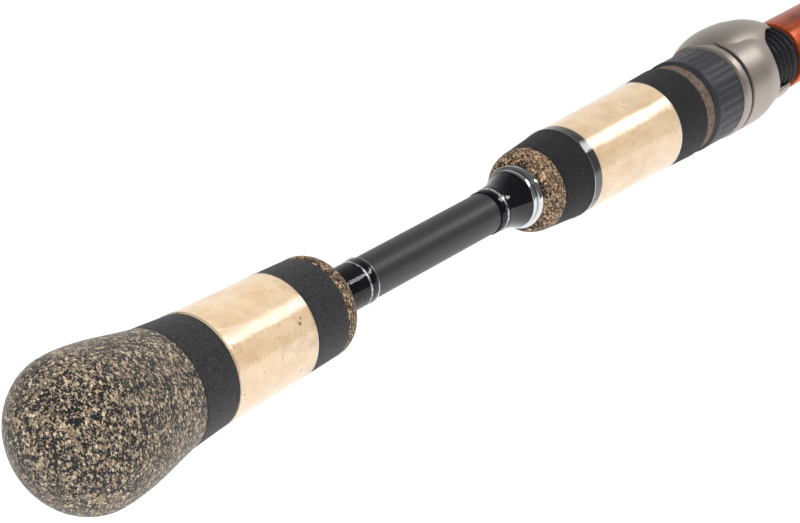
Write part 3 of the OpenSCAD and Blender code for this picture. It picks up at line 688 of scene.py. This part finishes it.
def view_axes():
    """The photograph's right, up and ahead directions, in the part's frame."""
    turn = math.radians(AZIMUTH_DEG)
    tilt = math.radians(ELEVATION_DEG)
    ahead = Vector((-math.sin(turn) * math.cos(tilt), math.cos(turn) * math.cos(tilt), -math.sin(tilt)))
    right = ahead.cross(Vector((0, 0, 1))).normalized()
    return ROLL @ right, ROLL @ right.cross(ahead), ROLL @ ahead


def make_floor():
    """Plain pale floor, bright enough to look white."""
    low = CAD_BOX[0][2] - FLOOR_DROP
    corners = [(-FLOOR_SIZE, FLOOR_EDGE, low), (FLOOR_SIZE, FLOOR_EDGE, low),
               (FLOOR_SIZE, FLOOR_SIZE, low), (-FLOOR_SIZE, FLOOR_SIZE, low)]
    mesh = bpy.data.meshes.new("floor")
    mesh.from_pydata(corners, [], [(0, 1, 2, 3)])
    floor = bpy.data.objects.new("floor", mesh)
    bpy.context.scene.collection.objects.link(floor)
    g = Graph("floor_pale")
    g.set(Base_Color=g.ramp(g.noise(3, 2), (0.3, (0.28, 0.28, 0.28)), (0.7, (0.30, 0.30, 0.30))))
    g.set(Roughness=0.9, Emission_Color=(1.0, 1.0, 1.0), Emission_Strength=FLOOR_GLOW)
    mesh.materials.append(g.material)


def make_world():
    """White backdrop; what the rod reflects is bright on the far side and dim on the near side."""
    world = bpy.data.worlds.new("surroundings")
    bpy.context.scene.world = world
    world.use_nodes = True
    tree = world.node_tree

    def step(operation, a, b):
        node = tree.nodes.new("ShaderNodeMath")
        node.operation = operation
        tree.links.new(a, node.inputs[0])
        if isinstance(b, float):
            node.inputs[1].default_value = b
        else:
            tree.links.new(b, node.inputs[1])
        return node.outputs[0]

    facing = tree.nodes.new("ShaderNodeVectorMath")
    facing.operation = "DOT_PRODUCT"
    tree.links.new(tree.nodes.new("ShaderNodeTexCoord").outputs["Generated"], facing.inputs[0])
    facing.inputs[1].default_value = view_axes()[2]
    ahead = tree.nodes.new("ShaderNodeMapRange")
    tree.links.new(facing.outputs["Value"], ahead.inputs["Value"])
    glow = step("ADD", step("POWER", ahead.outputs["Result"], WORLD_FADE), WORLD_LEAST)
    backdrop = tree.nodes.new("ShaderNodeLightPath").outputs["Is Camera Ray"]
    back = tree.nodes["Background"]
    back.inputs["Color"].default_value = (1.0, 1.0, 1.0, 1.0)
    tree.links.new(step("MAXIMUM", glow, backdrop), back.inputs["Strength"])


def area_light(name, place, size, power):
    """A soft box aimed at the handle, placed for the rod as it lies in the photograph."""
    data = bpy.data.lights.new(name, "AREA")
    data.shape = "RECTANGLE"
    data.size, data.size_y = size
    data.energy = power
    lamp = bpy.data.objects.new(name, data)
    bpy.context.scene.collection.objects.link(lamp)
    aim = (Vector(HANDLE) - Vector(place)).to_track_quat("-Z", "Y")
    lamp.matrix_world = ROLL @ Matrix.LocRotScale(Vector(place), aim, None)
    return lamp


def make_lights():
    """A key that makes the streaks of gloss, and two fills that show in no reflection."""
    area_light("soft_key", KEY_PLACE, KEY_SIZE, KEY_POWER)
    for name, place, power in FILLS:
        area_light(name, place, FILL_SIZE, power).visible_glossy = False


def make_camera():
    scene = bpy.context.scene
    data = bpy.data.cameras.new("camera")
    data.lens = LENS_MM
    data.sensor_width = SENSOR_MM
    data.sensor_fit = "HORIZONTAL"
    data.clip_start = 0.01
    camera = bpy.data.objects.new("camera", data)
    scene.collection.objects.link(camera)
    right, up, ahead = view_axes()
    cork_front = Vector((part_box("fore_cork")[1][0], 0, 0))
    pose = Matrix((right, up, -ahead)).transposed().to_4x4()
    pose.translation = cork_front + ROLL @ CAMERA_FROM_CORK
    camera.matrix_world = pose
    scene.camera = camera


bpy.context.scene.view_settings.view_transform = "Standard"
build_grips()
build_films()
build_tube()
build_check()
build_seat()
build_rings()
make_floor()
make_world()
make_lights()
make_camera()
